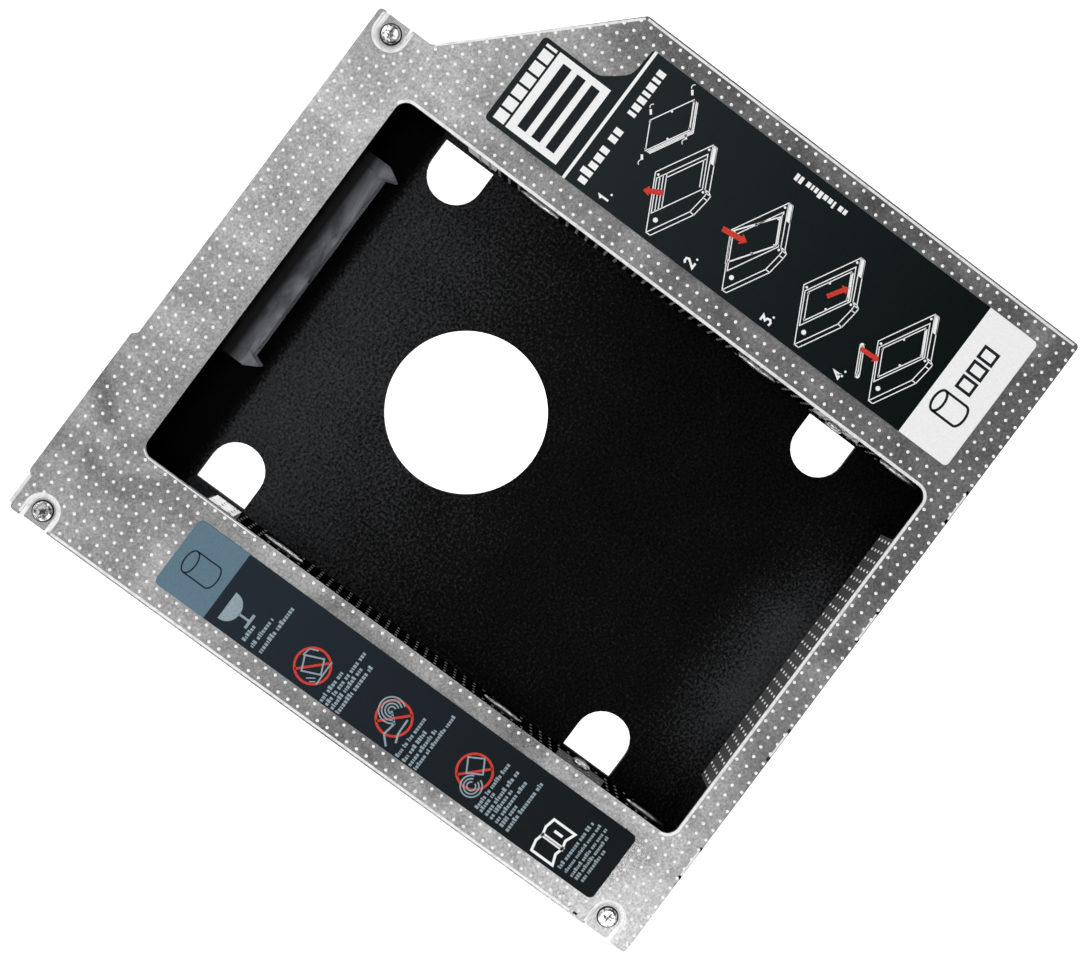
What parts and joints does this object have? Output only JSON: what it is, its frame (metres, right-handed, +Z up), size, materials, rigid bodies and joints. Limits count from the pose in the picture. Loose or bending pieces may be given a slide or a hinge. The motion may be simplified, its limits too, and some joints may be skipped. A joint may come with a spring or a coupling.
{
  "type": "optical bay drive adapter",
  "caption": "Slim sheet-metal laptop bay adapter: an open recess for a 2.5 inch drive with a drive receptacle at its rear, side springs and a dark floor with windows.",
  "frame": {"origin": "centre of the bounding box's base, on the plane of the tray's underside", "axes": "+X to the right with the connector side at the back, +Y to the rear where the slimline plug leaves, +Z up out of the open drive bay"},
  "size_m": [0.128, 0.1278, 0.0097],
  "materials": {
    "satin_aluminium": "satin rolled sheet, slightly mottled, with small light dots in a grid",
    "black_coat": "matte fine-grained black coat",
    "plated_steel": "bright nickel plating",
    "solder_mask": "black solder mask on fibreglass board",
    "dark_plastic": "dark grey moulded plastic",
    "gold_plate": "thin gold plating",
    "ceramic_body": "tan ceramic",
    "tantalum_body": "yellow moulded body",
    "resistor_body": "black film on ceramic",
    "navy_label": "printed film, navy",
    "black_label": "printed film, black"
  },
  "bodies": {
    "root": {"top_housing": "satin_aluminium", "bottom_tray": "black_coat", "adapter_board": "solder_mask", "drive_receptacle": "dark_plastic", "slimline_plug": "dark_plastic", "tantalum_capacitor": "tantalum_body", "ceramic_capacitor_1": "ceramic_body", "ceramic_capacitor_2": "ceramic_body", "chip_resistor": "resistor_body", "left_label": "navy_label", "right_label": "black_label", "receptacle_signal_contact_1": "gold_plate", "receptacle_signal_contact_2": "gold_plate", "receptacle_signal_contact_3": "gold_plate", "receptacle_signal_contact_4": "gold_plate", "receptacle_signal_contact_5": "gold_plate", "receptacle_signal_contact_6": "gold_plate", "receptacle_signal_contact_7": "gold_plate", "receptacle_power_contact_01": "gold_plate", "receptacle_power_contact_02": "gold_plate", "receptacle_power_contact_03": "gold_plate", "receptacle_power_contact_04": "gold_plate", "receptacle_power_contact_05": "gold_plate", "receptacle_power_contact_06": "gold_plate", "receptacle_power_contact_07": "gold_plate", "receptacle_power_contact_08": "gold_plate", "receptacle_power_contact_09": "gold_plate", "receptacle_power_contact_10": "gold_plate", "receptacle_power_contact_11": "gold_plate", "receptacle_power_contact_12": "gold_plate", "receptacle_power_contact_13": "gold_plate", "receptacle_power_contact_14": "gold_plate", "receptacle_power_contact_15": "gold_plate", "plug_signal_contact_1": "gold_plate", "plug_signal_contact_2": "gold_plate", "plug_signal_contact_3": "gold_plate", "plug_signal_contact_4": "gold_plate", "plug_signal_contact_5": "gold_plate", "plug_signal_contact_6": "gold_plate", "plug_signal_contact_7": "gold_plate", "plug_power_contact_1": "gold_plate", "plug_power_contact_2": "gold_plate", "plug_power_contact_3": "gold_plate", "plug_power_contact_4": "gold_plate", "plug_power_contact_5": "gold_plate", "plug_power_contact_6": "gold_plate", "corner_post_rear_left": "plated_steel", "corner_post_rear_right": "plated_steel", "corner_post_front_left": "plated_steel", "corner_screw_rear_left": "plated_steel", "corner_screw_rear_right": "plated_steel", "corner_screw_front_left": "plated_steel", "board_screw_left": "plated_steel", "board_screw_right": "plated_steel"}
  },
  "joints": []
}
